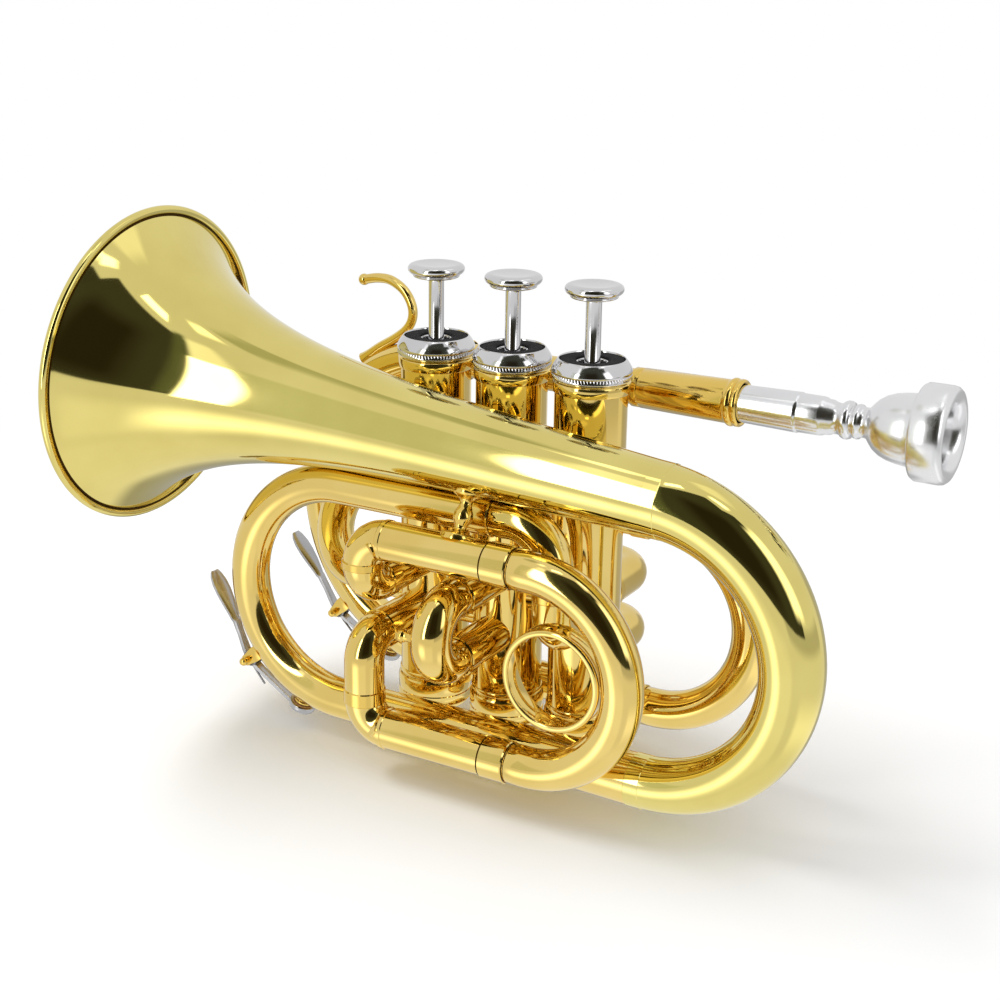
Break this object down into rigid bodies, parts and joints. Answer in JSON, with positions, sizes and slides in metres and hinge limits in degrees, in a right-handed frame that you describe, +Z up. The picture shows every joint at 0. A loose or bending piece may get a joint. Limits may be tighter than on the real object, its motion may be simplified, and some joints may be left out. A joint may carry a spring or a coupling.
{
  "type": "pocket trumpet",
  "caption": "Compact piston-valve trumpet with its tubing folded into tight loops, a flared bell, drawing slides, a finger ring and a cup mouthpiece.",
  "frame": {"origin": "on the axis of valve 2, in the left hand's grip, 56 mm below the tops of the valve caps", "axes": "+Z up along the valves, -X towards the bell, +X towards the player, -Y to the player's left"},
  "size_m": [0.2331, 0.1108, 0.149],
  "materials": {
    "lacquered_brass": "bright gold lacquer",
    "bright_nickel": "polished plate",
    "black_felt": "matt felt",
    "spring_steel": "drawn wire",
    "monel": "lapped satin",
    "white_nylon": "moulded",
    "cork": "natural cork"
  },
  "bodies": {
    "trumpet": {"casing_1": "lacquered_brass", "top_cap_1": "bright_nickel", "bottom_cap_1": "bright_nickel", "cap_felt_1": "black_felt", "valve_guide_1": "white_nylon", "casing_2": "lacquered_brass", "top_cap_2": "bright_nickel", "bottom_cap_2": "bright_nickel", "cap_felt_2": "black_felt", "valve_guide_2": "white_nylon", "casing_3": "lacquered_brass", "top_cap_3": "bright_nickel", "bottom_cap_3": "bright_nickel", "cap_felt_3": "black_felt", "valve_guide_3": "white_nylon", "knuckle_3_2": "lacquered_brass", "knuckle_2_1": "lacquered_brass", "bell": "lacquered_brass", "bell_bow": "lacquered_brass", "bell_tail": "lacquered_brass", "tail_elbow": "lacquered_brass", "leadpipe": "lacquered_brass", "leadpipe_bow": "lacquered_brass", "tuning_sleeve_lower": "lacquered_brass", "tuning_sleeve_upper": "lacquered_brass", "return_bow": "lacquered_brass", "receiver": "lacquered_brass", "third_elbow_upper": "lacquered_brass", "third_elbow_lower": "lacquered_brass", "third_sleeve_upper": "lacquered_brass", "third_sleeve_lower": "lacquered_brass", "second_sleeve_upper": "lacquered_brass", "second_sleeve_lower": "lacquered_brass", "first_sleeve_upper": "lacquered_brass", "first_sleeve_lower": "lacquered_brass", "bell_brace": "lacquered_brass", "finger_hook": "lacquered_brass"},
    "valve_1": {"piston_1": "monel", "stem_1": "bright_nickel", "button_1": "bright_nickel", "valve_spring_1": "spring_steel"},
    "valve_2": {"piston_2": "monel", "stem_2": "bright_nickel", "button_2": "bright_nickel", "valve_spring_2": "spring_steel"},
    "valve_3": {"piston_3": "monel", "stem_3": "bright_nickel", "button_3": "bright_nickel", "valve_spring_3": "spring_steel"},
    "third_slide": {"third_crook": "lacquered_brass", "finger_ring": "lacquered_brass"},
    "second_slide": {"second_crook": "lacquered_brass", "second_knob": "lacquered_brass"},
    "first_slide": {"first_crook": "lacquered_brass"},
    "tuning_slide": {"tuning_crook": "lacquered_brass"},
    "tail_water_key": {"water_key_1": "bright_nickel", "water_key_cork_1": "cork"},
    "lead_water_key": {"water_key_2": "bright_nickel", "water_key_cork_2": "cork"},
    "mouthpiece_body": {"mouthpiece": "bright_nickel"}
  },
  "joints": [
    {"name": "valve_1_press", "type": "slide", "parent": "trumpet", "child": "valve_1", "axis": [0, 0, -1], "range_m": [0, 0.016], "stiffness_N_per_m": 130, "springref_m": -0.015, "deforming": ["valve_spring_1"]},
    {"name": "valve_2_press", "type": "slide", "parent": "trumpet", "child": "valve_2", "axis": [0, 0, -1], "range_m": [0, 0.016], "stiffness_N_per_m": 130, "springref_m": -0.015, "deforming": ["valve_spring_2"]},
    {"name": "valve_3_press", "type": "slide", "parent": "trumpet", "child": "valve_3", "axis": [0, 0, -1], "range_m": [0, 0.016], "stiffness_N_per_m": 130, "springref_m": -0.015, "deforming": ["valve_spring_3"]},
    {"name": "third_slide_draw", "type": "slide", "parent": "trumpet", "child": "third_slide", "axis": [1, 0, 0], "range_m": [0, 0.03]},
    {"name": "second_slide_draw", "type": "slide", "parent": "trumpet", "child": "second_slide", "axis": [0, -1, 0], "range_m": [0, 0.013]},
    {"name": "first_slide_draw", "type": "slide", "parent": "trumpet", "child": "first_slide", "axis": [-1, 0, 0], "range_m": [0, 0.025]},
    {"name": "tuning_slide_draw", "type": "slide", "parent": "trumpet", "child": "tuning_slide", "axis": [1, 0, 0], "range_m": [0, 0.028]},
    {"name": "tail_water_key_turn", "type": "hinge", "parent": "trumpet", "child": "tail_water_key", "pos_m": [-0.07708, -0.02174, -0.04738], "axis": [0, 1, 0], "range_deg": [0, 12], "stiffness_Nm_per_rad": 0.03, "springref_deg": -28.65},
    {"name": "lead_water_key_turn", "type": "hinge", "parent": "trumpet", "child": "lead_water_key", "pos_m": [-0.07252, 0.01805, -0.04412], "axis": [0, 1, 0], "range_deg": [0, 10], "stiffness_Nm_per_rad": 0.03, "springref_deg": -28.65},
    {"name": "mouthpiece_pull", "type": "slide", "parent": "trumpet", "child": "mouthpiece_body", "axis": [1, 0, 0], "range_m": [0, 0.022]}
  ]
}
